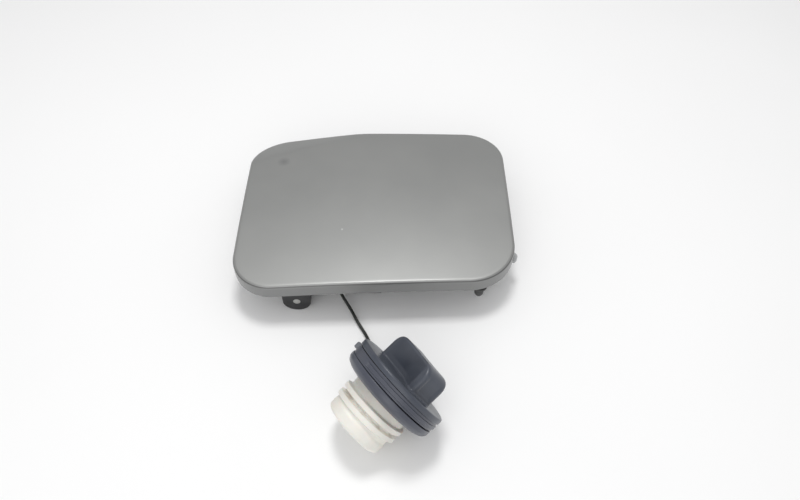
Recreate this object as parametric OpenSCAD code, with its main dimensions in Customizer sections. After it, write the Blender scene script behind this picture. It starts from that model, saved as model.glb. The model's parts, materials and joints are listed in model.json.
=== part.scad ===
// Car fuel door with its swing hinge and a tethered filler cap, in millimetres.
// The door lies face up and closed over its hinge. Z = 0 is the surface it lies on.
// The origin is the middle of the two bolt holes in the foot of the hinge bracket.
// The pin runs along Y, +X points to the latch edge of the door.

/* [Door] */
// Width of the door over its side skirts
door_w = 194; // [170:1:220]
// Depth of the door, from the rear edge to the middle of the front edge
door_depth = 150; // [130:1:170]
// Distance of the middle of the door from the bolt line
door_x = 18; // [10:1:30]
// Y of the rear edge
rear_y = 91.5; // [80:0.5:100]
// Height of the crown of the door above the ground
door_top = 38.5; // [37:0.5:45]
// Angle of the front edge to the rear edge
front_skew = 2.2; // [0:0.1:4]
// Angle at which the rear edge falls away near the hinge side
rear_fall = 5.1; // [0:0.1:8]
// Length of the falling part of the rear edge
rear_break = 79; // [50:1:110]
// Corner radius at the front, hinge side
front_hinge_r = 28; // [15:1:35]
// Corner radius at the front, latch side
front_latch_r = 34; // [15:1:40]
// Corner radius at the rear, latch side
rear_latch_r = 29; // [15:1:35]
// Corner radius at the rear, hinge side
rear_hinge_r = 30; // [15:1:35]
// Fall of the crown at the side edges
crown_x = 2.0; // [0:0.1:3]
// Fall of the crown at the front and rear edges
crown_y = 2.5; // [0:0.1:3]
// Sheet thickness of both skins
skin_t = 0.8; // [0.6:0.1:1.2]
// Depth of the skirt round the edge
skirt_h = 11; // [8:0.5:12]
// Radius of the rolled top edge
edge_r = 2.2; // [1.5:0.1:3]
// Outer radius of the fold at the foot of the skirt
hem_r = 1.0; // [0.9:0.1:1.5]
// Width of the hem that holds the inner skin
hem_w = 4.2; // [3.5:0.1:4.4]

/* [Shoulder crease] */
// Y at which the crease meets the hinge edge
crease_y = 56; // [40:1:70]
// X at which the crease meets the rear edge
crease_x = 14; // [-20:1:40]
// Angle by which the skin bends down past the crease
crease_angle = 14; // [0:1:18]
// Distance over which the bend builds up
crease_soft = 4; // [1:0.5:10]

/* [Inner skin] */
// Height of the underside of its flat field
field_z = 27.5; // [27:0.25:29]
// Inset at which the flange turns up
flange_w = 4.8; // [4.6:0.1:5.2]
// Inset at which the flat field begins
field_inset = 5.8; // [5.6:0.1:6.2]

/* [Hinge] */
// Distance of the pin from the bolt line
pin_reach = 36; // [32:1:40]
// Height of the pin
pin_z = 10; // [10:0.5:12]
// Diameter of the pin
pin_d = 5; // [4:0.5:6]
// Outer radius of the eyes of the arm
eye_r = 9.7; // [8:0.1:9.8]
// Distance of the outer faces of the arm's lugs from the bolt centre
lug_y = 54.5; // [50:0.5:56]
// Thickness of a lug
lug_t = 5.5; // [4:0.5:7]
// Thickness of the arm's plate
arm_t = 3.5; // [3:0.5:4]
// Height of the top of the arm's plate
arm_top = 23.8; // [23:0.2:24]
// Width of the arm's plate
arm_w = 40; // [34:1:44]
// Diameter of the arm's screws
screw_d = 5; // [4:1:5]
// Spacing of the arm's screws along the pin
screw_y = 56; // [40:1:60]
// Spacing of the arm's screws across the pin
screw_x = 26; // [22:1:28]
// Distance of the outer faces of the bracket's ears from the bolt centre
ear_y = 40; // [36:0.5:42]
// Sheet thickness of the bracket
bracket_t = 2.5; // [2:0.5:3]
// Radius of the bracket's eyes
ear_r = 8; // [7:0.5:9]
// Length of the bracket's foot
foot_l = 42; // [38:1:50]
// Spacing of the bolt holes
bolt_spacing = 40; // [30:1:50]
// Diameter of the bolt holes
bolt_hole_d = 6.6; // [5.5:0.1:7]
// Outer diameter of the bushes
bush_d = 8; // [7.5:0.5:9]
// Diameter of the bush flanges
bush_flange_d = 12; // [11:0.5:14]
// Thickness of the bush flanges
bush_flange_t = 1.2; // [1:0.1:1.5]
// Wire of the closing spring
closing_wire = 1.4; // [1:0.1:1.5]
// Mean radius of the closing spring
closing_r = 5.6; // [5:0.1:6]

/* [Bumpers and striker] */
// Distance of the bumpers from the latch edge
bumper_inset = 24; // [23:0.5:30]
// Y of the front bumper
front_bumper_y = -43.4; // [-43.6:0.2:-42]
// Y of the rear bumper
rear_bumper_y = 78; // [70:1:80]
// Diameter of the bumper's stud
stud_d = 6.4; // [5:0.2:8]
// Diameter of the bumper's flange
bumper_flange_d = 10.3; // [9:0.1:11]
// Height of the bumper's tip
bumper_tip_z = 3.2; // [3:0.1:6]
// Height of the bumper's flange
bumper_flange_z = 13; // [12.4:0.2:16]
// Y of the middle of the striker
striker_y = -25; // [-27:0.5:-24]
// Reach of the striker past the latch edge
striker_reach = 3; // [2:0.5:6]
// Width of the striker's tongue
tongue_w = 7.5; // [7:0.5:10]

/* [Cap] */
// Radius of the cap's cover
cover_r = 33; // [32:0.5:34]
// Thickness of the cover's disc
cover_t = 3.6; // [3:0.1:4]
// Length of the handle bar
handle_l = 46.5; // [38:0.5:48]
// Height of the handle bar
handle_h = 17.8; // [14:0.1:20]
// Thickness of the handle bar at its ends
handle_t = 18.6; // [15:0.1:20]
// Thickness of the handle bar between its finger hollows
waist_t = 8.6; // [7:0.1:11]
// Angle at which the handle has come to rest
handle_turn = -28; // [-90:1:90]
// Outer radius of the tether ring
ring_r = 32.4; // [31.5:0.1:33]
// Height of the tether ring
ring_h = 5.1; // [4.6:0.1:5.3]
// Room of the tether ring in its groove beyond the running gaps
ring_slack = 0.7; // [0.4:0.1:1.2]
// Radius of the skirt below the ring
skirt_r = 32.8; // [32:0.1:33]
// Radius of the skirt at its foot
skirt_foot_r = 31.5; // [31:0.1:32]
// Radius of the plug's wall
plug_r = 19.5; // [19:0.1:20]
// Radius of the smooth section at the plug's end
plug_end_r = 20.1; // [19.8:0.1:20.4]
// Depth of the plug's open end below the top of the disc
plug_end = 42.6; // [42:0.1:44]
// Height of the thread above the plug's wall
thread_h = 2.9; // [1.5:0.1:3]
// Pitch of the thread
thread_pitch = 5.7; // [5:0.1:6]
// Turns of the thread
thread_turns = 2.2; // [1.5:0.1:2.3]
// Z of the thread's lower start
thread_low = -34.3; // [-35:0.1:-34]
// X of the middle of the cap's disc
cap_x = 37.9; // [30:0.1:50]
// Y of the middle of the cap's disc
cap_y = -128.7; // [-140:0.1:-125]
// Direction in which the cap's axis lies
cap_turn = 37.2; // [30:0.1:45]

/* [Tether] */
// Diameter of the tether
tether_d = 2.2; // [1.8:0.1:2.4]
// Height of the anchor's peg
anchor_h = 7; // [6:0.5:9]

/* [Hidden] */
// Running clearance on the pin, on the radius
run_gap = 0.03;
// Clearance of screws and rivets in their holes, on the radius
hole_gap = 0.25;
// Side clearance between parts that turn on each other
side_gap = 0.3;

pin_x = -pin_reach;
door_left = door_x - door_w / 2;
door_right = door_x + door_w / 2;
front_mid_y = rear_y - door_depth;
door_mid_y = rear_y - door_depth / 2;
door_mid = [door_x, door_mid_y];
field_top = field_z + skin_t;
bumper_x = door_right - bumper_inset;

// Solids built from rings of points

// Middle of a ring of points
function middle(ring) = [for (k = [0:2]) [for (p = ring) p[k]] * [for (p = ring) 1] / len(ring)];

// Closed solid through a list of rings, each with the same number of points.
// The rings run anticlockwise seen from the side that the list starts on.
module skin(rings) {
    n = len(rings[0]);
    last = len(rings) - 1;
    points = concat([for (r = rings) each r], [middle(rings[0]), middle(rings[last])]);
    start = n * (last + 1);
    sides = [for (i = [0:last - 1], j = [0:n - 1], h = [0, 1])
        let (a = i * n + j, b = i * n + (j + 1) % n)
        h == 0 ? [a, b, a + n] : [b, b + n, a + n]];
    caps = [for (j = [0:n - 1], h = [0, 1])
        let (k = (j + 1) % n)
        h == 0 ? [start, k, j] : [start + 1, last * n + j, last * n + k]];
    polyhedron(points, concat(sides, caps), convexity = 10);
}

function unit(v) = v / norm(v);

// Tube of a given radius along a list of points
module sweep(route, r, sides, up = [0, 0, 1]) {
    last = len(route) - 1;
    skin([for (i = [0:last])
        let (
            along = unit(route[min(i + 1, last)] - route[max(i - 1, 0)]),
            x = unit(cross(along, up)),
            y = cross(x, along)
        )
        [for (k = [0:sides - 1]) route[i] + r * (cos(360 * k / sides) * x + sin(360 * k / sides) * y)]]);
}

// Curve through hand-set points, with a given number of steps between them
function curve(p, steps) = concat(
    [for (i = [0:len(p) - 2], s = [0:steps - 1])
        let (
            t = s / steps,
            a = p[max(i - 1, 0)], b = p[i], c = p[i + 1], d = p[min(i + 2, len(p) - 1)]
        )
        b + (c - a) * t / 2 + (2 * a - 5 * b + 4 * c - d) * t * t / 2
            + (3 * b - a - 3 * c + d) * t * t * t / 2],
    [p[len(p) - 1]]
);

// Coil about Z with its ends flattened by the wire's own pitch
module coil(r, wire, z0, z1, turns, steps) {
    rise = z1 - z0 - wire;
    sweep([for (i = [0:turns * steps])
        let (t = i / (turns * steps), a = 360 * turns * t)
        [r * cos(a), r * sin(a), z0 + wire / 2 + rise * t]], wire / 2, 6);
}

// Outline and surface of the door

corners = [
    [door_left, front_mid_y - tan(front_skew) * door_w / 2],
    [door_right, front_mid_y + tan(front_skew) * door_w / 2],
    [door_right, rear_y],
    [door_left + rear_break, rear_y],
    [door_left, rear_y - rear_break * tan(rear_fall)]
];
corner_r = [front_hinge_r, front_latch_r, rear_latch_r, 150, rear_hinge_r];
corner_steps = [10, 10, 10, 4, 10];
side_steps = 6;

function turn_angle(v) = atan2(v.y, v.x);
function edge_angle(i) = turn_angle(corners[(i + 1) % 5] - corners[i]) - 90;
// Middle of the arc of a corner
function arc_mid(i) =
    let (
        a = unit(corners[(i + 4) % 5] - corners[i]),
        b = unit(corners[(i + 1) % 5] - corners[i]),
        half = acos(a * b) / 2
    )
    corners[i] + unit(a + b) * corner_r[i] / sin(half);
function arc_points(i, inset) =
    let (
        from = edge_angle((i + 4) % 5),
        sweep_by = (edge_angle(i) - from + 720) % 360
    )
    [for (k = [0:corner_steps[i]])
        let (a = from + sweep_by * k / corner_steps[i])
        arc_mid(i) + (corner_r[i] - inset) * [cos(a), sin(a)]];
// Outline at a given inset, with extra points along the straight sides
function outline(inset) = [for (i = [0:4])
    let (arc = arc_points(i, inset), next = arc_points((i + 1) % 5, inset)[0], end = arc[len(arc) - 1])
    each concat(arc, [for (k = [1:side_steps - 1]) end + (next - end) * k / side_steps])];

crease_from = [door_left, crease_y];
crease_dir = unit([crease_x, rear_y] - crease_from);
// Distance past the crease, and the fall of the skin there
function past_crease(p) = max(0, (p - crease_from) * [-crease_dir.y, crease_dir.x]);
function crease_fall(p) = let (s = past_crease(p)) tan(crease_angle) * s * s / (s + crease_soft);
// Height of the door's outer face
function face_z(p) = door_top
    - crown_x * pow((p.x - door_x) / (door_w / 2), 2)
    - crown_y * pow((p.y - door_mid_y) / (door_depth / 2), 2)
    - crease_fall(p);

// Ring at a given inset and depth below the outer face
function face_ring(inset, depth) = [for (p = outline(inset)) [p.x, p.y, face_z(p) - depth]];
// Ring shrunk towards the middle of the door
function crown_ring(share, inset, depth) = [for (p = outline(inset))
    let (q = door_mid + share * (p - door_mid)) [q.x, q.y, face_z(q) - depth]];
function flat_ring(inset, z) = [for (p = outline(inset)) [p.x, p.y, z]];
crown_shares = [0.2, 0.4, 0.6, 0.8];

module door_outer_panel() {
    inner_r = edge_r - skin_t;
    color("#8b8d90")
    skin(concat(
        [for (s = crown_shares) crown_ring(s, edge_r, 0)],
        [for (a = [0:22.5:90]) face_ring(edge_r * (1 - sin(a)), edge_r * (1 - cos(a)))],
        [for (a = [0:45:90]) face_ring(hem_r * (1 - cos(a)), skirt_h - hem_r * (1 - sin(a)))],
        [face_ring(hem_w, skirt_h), face_ring(hem_w, skirt_h - skin_t)],
        [face_ring(skin_t, skirt_h - skin_t)],
        [for (a = [90:-45:0]) face_ring(edge_r - inner_r * sin(a), edge_r - inner_r * cos(a))],
        [for (i = [3:-1:0]) crown_ring(crown_shares[i], edge_r, skin_t)]
    ));
}

// Screw, rivet and bumper places in the inner skin
module at_arm_screws() {
    for (x = [-1, 1], y = [-1, 1])
        translate([pin_x + 4 + x * screw_x / 2, y * screw_y / 2, 0]) children();
}

rivet_inset = 30;
rivet_x = door_right - rivet_inset;
pad_y = -20;
rivet_spacing = 16;
rivet_d = 4;
module at_rivets() {
    for (y = [-1, 1])
        translate([rivet_x, pad_y + y * rivet_spacing / 2, 0]) children();
}

neck_d = 5;
head_z = 32;
module at_bumpers() {
    for (y = [front_bumper_y, rear_bumper_y])
        translate([bumper_x, y, 0]) children();
}

module door_inner_panel() {
    top_depth = skirt_h - 2 * skin_t;
    flange_gap = 0.3;
    color("#6f7174")
    difference() {
        skin([
            flat_ring(field_inset + 1, field_top),
            flat_ring(field_inset, field_top),
            face_ring(flange_w, top_depth),
            face_ring(skin_t + flange_gap, top_depth),
            face_ring(skin_t + flange_gap, top_depth + skin_t),
            face_ring(flange_w + skin_t, top_depth + skin_t),
            flat_ring(field_inset + skin_t, field_z),
            flat_ring(field_inset + 2, field_z)
        ]);
        translate([0, 0, field_z - 1]) {
            at_arm_screws() cylinder(d = screw_d + 2 * hole_gap, h = skin_t + 2, $fn = 32);
            at_rivets() cylinder(d = rivet_d + 2 * hole_gap, h = skin_t + 2, $fn = 32);
            at_bumpers() cylinder(d = neck_d, h = skin_t + 2, $fn = 32);
        }
    }
}

// Hinge

// Plate standing across the pin, from y0 towards +Y
module standing(y0, t) {
    translate([0, y0 + t, 0]) rotate([90, 0, 0]) linear_extrude(t) children();
}

boss_d = 13;
module hinge_arm() {
    arm_x = pin_x + 4 - arm_w / 2;
    color("#1d1e20")
    difference() {
        union() {
            translate([arm_x, -lug_y, arm_top - arm_t]) cube([arm_w, 2 * lug_y, arm_t]);
            at_arm_screws() translate([0, 0, arm_top]) cylinder(d = boss_d, h = field_z - arm_top, $fn = 48);
            for (y = [-lug_y, lug_y - lug_t])
                standing(y, lug_t) {
                    translate([pin_x, pin_z]) circle(eye_r, $fn = 64);
                    translate([pin_x - eye_r, pin_z]) square([2 * eye_r, arm_top - pin_z]);
                }
        }
        translate([pin_x, 0, pin_z]) rotate([90, 0, 0]) cylinder(d = pin_d, h = 3 * lug_y, center = true, $fn = 48);
        at_arm_screws() cylinder(d = screw_d + 2 * hole_gap, h = door_top, $fn = 32);
    }
}

screw_head_d = 9;
screw_head_h = 3;
nut_h = 4;
module arm_screws() {
    color("#b8b9ba")
    at_arm_screws() {
        translate([0, 0, arm_top - arm_t - screw_head_h]) cylinder(d = screw_head_d, h = screw_head_h, $fn = 48);
        translate([0, 0, arm_top - arm_t]) cylinder(d = screw_d, h = field_top + nut_h + 1 - arm_top + arm_t, $fn = 32);
    }
}

module arm_nuts() {
    color("#9a9b9c")
    at_arm_screws() translate([0, 0, field_top])
        difference() {
            cylinder(d = screw_d * 1.8, h = nut_h, $fn = 6);
            translate([0, 0, -1]) cylinder(d = screw_d, h = nut_h + 2, $fn = 32);
        }
}

pin_end_out = 2.4;
pin_front = -lug_y;
pin_rear = lug_y + pin_end_out;
clip_t = 0.8;
clip_groove = 0.4;
module along_pin(y) {
    translate([pin_x, y, pin_z]) rotate([-90, 0, 0]) children();
}

module hinge_pin() {
    color("#c9c9c7")
    difference() {
        along_pin(pin_front) cylinder(d = pin_d, h = pin_rear - pin_front, $fn = 48);
        along_pin(lug_y + 0.1) difference() {
            cylinder(d = pin_d + 1, h = clip_t, $fn = 48);
            translate([0, 0, -1]) cylinder(d = pin_d - 2 * clip_groove, h = clip_t + 2, $fn = 48);
        }
    }
}

module pin_clip() {
    inner_d = pin_d - 2 * clip_groove;
    color("#8d8e8f")
    along_pin(lug_y + 0.1) difference() {
        cylinder(d = 2 * pin_d, h = clip_t, $fn = 48);
        translate([0, 0, -1]) cylinder(d = inner_d, h = clip_t + 2, $fn = 48);
        translate([-inner_d * 0.42, 0, -1]) cube([inner_d * 0.84, 2 * pin_d, clip_t + 2]);
    }
}

foot_from = -20;
foot_end = foot_from + foot_l;
rib_h = 6;
anchor_x = foot_end - 9;
anchor_y = 30;
anchor_d = 5;
module hinge_bracket() {
    color("#2a2b2d")
    difference() {
        union() {
            translate([foot_from, -ear_y, 0]) cube([foot_l, 2 * ear_y, bracket_t]);
            for (y = [-ear_y, ear_y - bracket_t])
                standing(y, bracket_t) {
                    translate([pin_x, pin_z]) circle(ear_r, $fn = 64);
                    polygon([
                        [pin_x, pin_z - ear_r], [foot_from, 0], [foot_end, 0], [foot_end, bracket_t],
                        [foot_end - 6, rib_h], [foot_from + 6, rib_h],
                        [pin_x + 4, pin_z + ear_r * sin(acos(4 / ear_r))]
                    ]);
                }
        }
        for (y = [-1, 1])
            translate([0, y * bolt_spacing / 2, -1]) cylinder(d = bolt_hole_d, h = bracket_t + 2, $fn = 48);
        translate([anchor_x, anchor_y, -1]) cylinder(d = anchor_d, h = bracket_t + 2, $fn = 48);
        along_pin(-2 * ear_y) cylinder(d = bush_d, h = 4 * ear_y, $fn = 48);
    }
}

// Bush of one ear, with its flange towards the nearer lug
module bush() {
    difference() {
        union() {
            cylinder(d = bush_d, h = bracket_t + 1.5, $fn = 48);
            translate([0, 0, -bush_flange_t]) cylinder(d = bush_flange_d, h = bush_flange_t, $fn = 48);
        }
        translate([0, 0, -bush_flange_t - 1]) cylinder(d = pin_d + 2 * run_gap, h = 10, $fn = 48);
    }
}

module front_bush() {
    color("#d8d6cf") along_pin(-ear_y) bush();
}

module rear_bush() {
    color("#d8d6cf") along_pin(ear_y) rotate([180, 0, 0]) bush();
}

sleeve_from = ear_y + bush_flange_t + side_gap;
sleeve_to = lug_y - lug_t;
module spacer_sleeve() {
    color("#4a4b4d")
    along_pin(sleeve_from) difference() {
        cylinder(d = bush_flange_d - 2, h = sleeve_to - sleeve_from, $fn = 48);
        translate([0, 0, -1]) cylinder(d = pin_d, h = lug_y, $fn = 48);
    }
}

// Torsion spring between the front lug and the front bush: one leg lies under the arm's plate,
// the other hooks over the ear of the bracket
closing_turns = 4;
closing_steps = 16;
closing_from = -lug_y + lug_t + 0.3;
closing_to = -ear_y - bush_flange_t - 0.3;
ear_top = pin_z + ear_r * sin(acos(4 / ear_r));
ear_slope = (ear_top - rib_h) / (foot_from + 6 - pin_x - 4);
module closing_spring() {
    start = closing_from + closing_wire / 2;
    rise = closing_to - closing_from - closing_wire;
    under_plate = arm_top - arm_t - closing_wire / 2 - 0.1;
    leg_x = pin_x + 12;
    leg_z = ear_top - ear_slope * (leg_x - pin_x - 4) + closing_wire / 2 + 0.4;
    count = closing_turns * closing_steps;
    color("#77787a")
    sweep(concat(
        [[leg_x + 3, start, under_plate], [pin_x + 4, start, under_plate - 0.4]],
        [for (i = [4:count])
            let (a = 90 + 360 * i / closing_steps)
            [pin_x - closing_r * cos(a), start + rise * i / count, pin_z + closing_r * sin(a)]],
        [
            [pin_x + 3, start + rise, pin_z + closing_r - 0.2],
            [leg_x - 1, start + rise, leg_z],
            [leg_x, start + rise + 1.4, leg_z],
            [leg_x, -ear_y + bracket_t + 1, leg_z]
        ]
    ), closing_wire / 2, 6, up = [0.1, 0.3, 1]);
}

// Latch side of the door

module bumper() {
    collar_d = 6;
    cone_d = 8;
    color("#232426") {
        translate([0, 0, bumper_tip_z + stud_d / 2]) {
            sphere(d = stud_d, $fn = 48);
            cylinder(d = stud_d, h = bumper_flange_z - bumper_tip_z - stud_d / 2, $fn = 48);
        }
        translate([0, 0, bumper_flange_z]) cylinder(d = bumper_flange_d, h = 1.6, $fn = 48);
        translate([0, 0, bumper_flange_z + 1]) cylinder(d = neck_d, h = head_z - bumper_flange_z - 2, $fn = 48);
        translate([0, 0, field_z - 1.5]) cylinder(d = collar_d, h = 1.5, $fn = 48);
        translate([0, 0, field_top]) cylinder(d1 = cone_d, d2 = neck_d, h = head_z - field_top, $fn = 48);
    }
}

module front_bumper() {
    translate([bumper_x, front_bumper_y, 0]) bumper();
}

module rear_bumper() {
    translate([bumper_x, rear_bumper_y, 0]) bumper();
}

pad_t = 3;
tongue_z = 20.5;
module latch_striker() {
    pad_margin = 9;
    pad_x = rivet_x - pad_margin;
    pad_l = 26;
    pad_w = 28;
    block_margin = 7;
    block_x = rivet_x + block_margin;
    block_l = 12;
    tongue_l = door_right + striker_reach - block_x;
    color("#b9babb")
    difference() {
        union() {
            translate([pad_x, pad_y - pad_w / 2, field_z - pad_t]) cube([pad_l, pad_w, pad_t]);
            translate([block_x, striker_y - tongue_w / 2, tongue_z]) cube([block_l, tongue_w, field_z - tongue_z]);
            translate([block_x, striker_y - tongue_w / 2, tongue_z])
                cube([tongue_l - tongue_w / 4, tongue_w, pad_t]);
            translate([door_right + striker_reach - tongue_w / 2, striker_y, tongue_z])
                cylinder(d = tongue_w, h = pad_t, $fn = 48);
        }
        at_rivets() cylinder(d = rivet_d + 2 * hole_gap, h = door_top, $fn = 32);
    }
}

module striker_rivets() {
    head_d = 7;
    head_h = 1.5;
    color("#b0b1b2")
    at_rivets() {
        translate([0, 0, field_z - pad_t - head_h]) cylinder(d = head_d, h = head_h, $fn = 48);
        translate([0, 0, field_z - pad_t]) cylinder(d = rivet_d, h = pad_t + skin_t, $fn = 32);
        translate([0, 0, field_top]) cylinder(d = head_d - 1, h = head_h, $fn = 48);
    }
}

// Filler cap, built about Z with the top of its disc at zero, then laid on its side

groove_h = ring_h + 2 * side_gap + ring_slack;
skirt_top = -cover_t - groove_h;
skirt_edge = -13;
skirt_foot = -15;
skirt_bottom = -16.6;
skirt_lip_r = 28.5;
plug_round = 2.4;
// The cap rests on the edge of its skirt and on the rounded end of its plug
rest_span = [skirt_r - plug_end_r + plug_round, plug_end - plug_round + skirt_edge];
cap_tilt = atan(rest_span.x / rest_span.y) - asin(plug_round / norm(rest_span));
cap_z = skirt_r * cos(cap_tilt) - skirt_edge * sin(cap_tilt);

module laid() {
    translate([cap_x, cap_y, cap_z]) rotate([0, 90 - cap_tilt, cap_turn]) children();
}

ring_wall = 5;
hub_wall = 3.4;
hub_r = min(ring_r, skirt_r) - ring_wall;
hub_in = hub_r - hub_wall;
hub_low = -13.4;
key_l = 1.6;
key_w = 3;
key_low = -8;
key_gap = 0.2;

// Rectangle with rounded corners
module rounded(w, l, r) {
    square([w, l - 2 * r], center = true);
    square([w - 2 * r, l], center = true);
    for (x = [-1, 1], y = [-1, 1])
        translate([x * (w / 2 - r), y * (l / 2 - r)]) circle(r, $fn = 48);
}

// Rectangle that reaches a little below y = 0, with its two upper corners rounded
module upright(w, h, r, sink) {
    translate([-w / 2, -sink]) square([w, h + sink - r]);
    translate([-w / 2 + r, -sink]) square([w - 2 * r, h + sink]);
    for (x = [-1, 1])
        translate([x * (w / 2 - r), h - r]) circle(r, $fn = 48);
}

// Bar along Y with a finger hollow on each side, which grows shallow towards the top
module handle() {
    plan_r = 2.6;
    top_r = 7.5;
    hollow_l = 36;
    lip_low = 4;
    lip_high = 16;
    lip_share = 0.4;
    sink = 1;
    depth = (handle_t - waist_t) / 2;
    hollow_r = (depth * depth + hollow_l * hollow_l / 4) / (2 * depth);
    lip_r = hollow_r - depth * (1 - lip_share);
    difference() {
        intersection() {
            translate([0, 0, -sink]) linear_extrude(handle_h + sink) rounded(handle_t, handle_l, plan_r);
            rotate([90, 0, 90]) linear_extrude(2 * handle_t, center = true)
                upright(handle_l, handle_h, top_r, sink);
        }
        for (x = [-1, 1])
            translate([x * (waist_t / 2 + hollow_r), 0, 0]) {
                translate([0, 0, -2 * sink]) cylinder(r = hollow_r, h = lip_low + 2 * sink, $fn = 96);
                translate([0, 0, lip_low]) cylinder(r1 = hollow_r, r2 = lip_r, h = lip_high - lip_low, $fn = 96);
                translate([0, 0, lip_high]) cylinder(r = lip_r, h = handle_h, $fn = 96);
            }
    }
}

module cap_cover() {
    round_r = 1.3;
    key_sink = 0.5;
    color("#3a4047")
    laid() {
        rotate_extrude($fn = 96) {
            translate([0, -cover_t]) square([cover_r - round_r, cover_t]);
            translate([0, -cover_t]) square([cover_r, cover_t - round_r]);
            translate([cover_r - round_r, -round_r]) circle(round_r, $fn = 32);
            translate([hub_in, hub_low]) square([hub_r - hub_in, -cover_t - hub_low]);
        }
        for (a = [45:90:315])
            rotate(a) translate([hub_in - key_l, -key_w / 2, key_low])
                cube([key_l + key_sink, key_w, -cover_t - key_low]);
        rotate(handle_turn) handle();
    }
}

// Ring that turns freely under the cover, with the lug of the tether and a small tab on its side.
// It hangs askew in its groove, as far as most of its room allows.
lug_out = 3.4;
lug_w = 5;
lug_h = 3.4;
lug_angle = 35;
lug_sink = 1.5;
tab_out = 2.6;
tab_w = 4;
tab_h = 3.7;
tab_angle = 15;
ring_mid = -cover_t - groove_h / 2;
ring_askew = 0.9 * asin(ring_slack / 2 / ring_r);
module tether_ring() {
    bore_gap = 0.4;
    color("#343a41")
    laid() translate([0, 0, ring_mid]) rotate([-ring_askew, 0, 0]) {
        difference() {
            cylinder(r = ring_r, h = ring_h, center = true, $fn = 96);
            cylinder(r = hub_r + bore_gap, h = 2 * ring_h, center = true, $fn = 96);
        }
        rotate(-lug_angle) translate([-lug_w / 2, ring_r - lug_sink, -lug_h / 2])
            cube([lug_w, lug_out + lug_sink, lug_h]);
        rotate(tab_angle) translate([-tab_w / 2, ring_r - lug_sink, -tab_h / 2])
            cube([tab_w, tab_out + lug_sink, tab_h]);
    }
}

shelf_r = plug_r + 0.7;
gasket_r = 26.8;
gasket_t = 1;
module cap_skirt() {
    round_r = 0.5;
    gasket_top = skirt_bottom + gasket_t;
    color("#3f454c")
    laid() rotate_extrude($fn = 96) polygon([
        [hub_r, skirt_top], [skirt_r - round_r, skirt_top], [skirt_r, skirt_top - round_r],
        [skirt_r, skirt_edge], [skirt_foot_r, skirt_foot], [skirt_lip_r, skirt_bottom],
        [gasket_r, skirt_bottom], [gasket_r, gasket_top],
        [shelf_r, gasket_top], [shelf_r, skirt_foot], [hub_r, skirt_foot]
    ]);
}

// Flat ring that seals on the filler neck
module neck_seal() {
    seal_in = shelf_r + 0.3;
    color("#1a1b1c")
    laid() rotate_extrude($fn = 96)
        translate([seal_in, skirt_bottom]) square([gasket_r - 0.1 - seal_in, gasket_t]);
}

// Ratchet that slips when the cap is tight: noses on the ring drop between teeth on the plug
ratchet_teeth = 12;
tooth_h = 0.8;
tooth_w = 1.5;
tooth_l = 6;
head_top = -12.4;
head_t = 2.2;
head_gap = 0.6;
head_r = hub_in - head_gap;
rim_w = 0.4;
tooth_in = head_r - rim_w - tooth_l;
ratchet_floor = head_top + tooth_h + 0.2;
module ratchet_ring() {
    wall_gap = 0.4;
    wall_t = 2.6;
    wall_r = hub_in - wall_gap;
    wall_in = wall_r - wall_t;
    floor_w = 8.6;
    floor_in = wall_r - floor_w;
    floor_t = 1.6;
    nose_w = 1.8;
    nose_l = 5;
    nose_h = 0.7;
    nose_sink = 0.3;
    color("#dcd9cf")
    laid() difference() {
        union() {
            rotate_extrude($fn = 96) {
                translate([floor_in, ratchet_floor]) square([wall_r - floor_in, floor_t]);
                translate([wall_in, ratchet_floor]) square([wall_r - wall_in, -cover_t - ratchet_floor]);
            }
            for (a = [15:90:285])
                rotate(a) translate([tooth_in, -nose_w / 2, ratchet_floor - nose_h])
                    cube([nose_l, nose_w, nose_h + nose_sink]);
        }
        for (a = [45:90:315])
            rotate(a) translate([wall_in - 1, -key_w / 2 - key_gap, key_low - key_gap])
                cube([wall_r - wall_in + 2, key_w + 2 * key_gap, key_gap - key_low]);
    }
}

plug_wall = 3;
bore_r = plug_r - plug_wall;
vent_r = 4;
module threaded_plug() {
    end_l = 7;
    start_angle = -26.6;
    steps = 24;
    run_in = 6;
    run_out = 4;
    low_share = 0.7;
    root = 2.4;
    crest = 1.4;
    sink = 0.8;
    end_low = -plug_end + plug_round;
    count = floor(thread_turns * steps);
    color("#e4e0d4")
    laid() {
        rotate_extrude($fn = 96) {
            translate([vent_r, head_top - head_t]) square([head_r - vent_r, head_t]);
            translate([bore_r, end_low]) square([plug_wall, head_top - head_t / 2 - end_low]);
            translate([bore_r, end_low]) square([plug_end_r - bore_r, end_l - plug_round]);
            translate([bore_r, -plug_end]) square([plug_end_r - plug_round - bore_r, plug_round]);
            intersection() {
                translate([plug_end_r - plug_round, end_low]) circle(plug_round, $fn = 48);
                translate([bore_r, -plug_end]) square([plug_end_r - bore_r, plug_round]);
            }
        }
        for (a = [0:360 / ratchet_teeth:359])
            rotate(a) translate([tooth_in, -tooth_w / 2, head_top - head_t / 2])
                cube([tooth_l, tooth_w, tooth_h + head_t / 2]);
        // One thread, swept as a ring of four points that runs in from nothing at both ends
        skin([for (i = [0:count])
            let (
                a = start_angle + 360 * i / steps,
                z = thread_low + thread_pitch * i / steps,
                share = min(1, i / run_in, (count - i) / run_out) * (low_share + (1 - low_share) * i / count),
                out = plug_r + thread_h * share - 0.3,
                inside = plug_r - sink
            )
            [for (q = [[out, -crest], [out, crest], [inside, root], [inside, -root]])
                [q[0] * cos(a), q[0] * sin(a), z + q[1]]]]);
    }
}

// Vent valves in the bore of the plug

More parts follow.
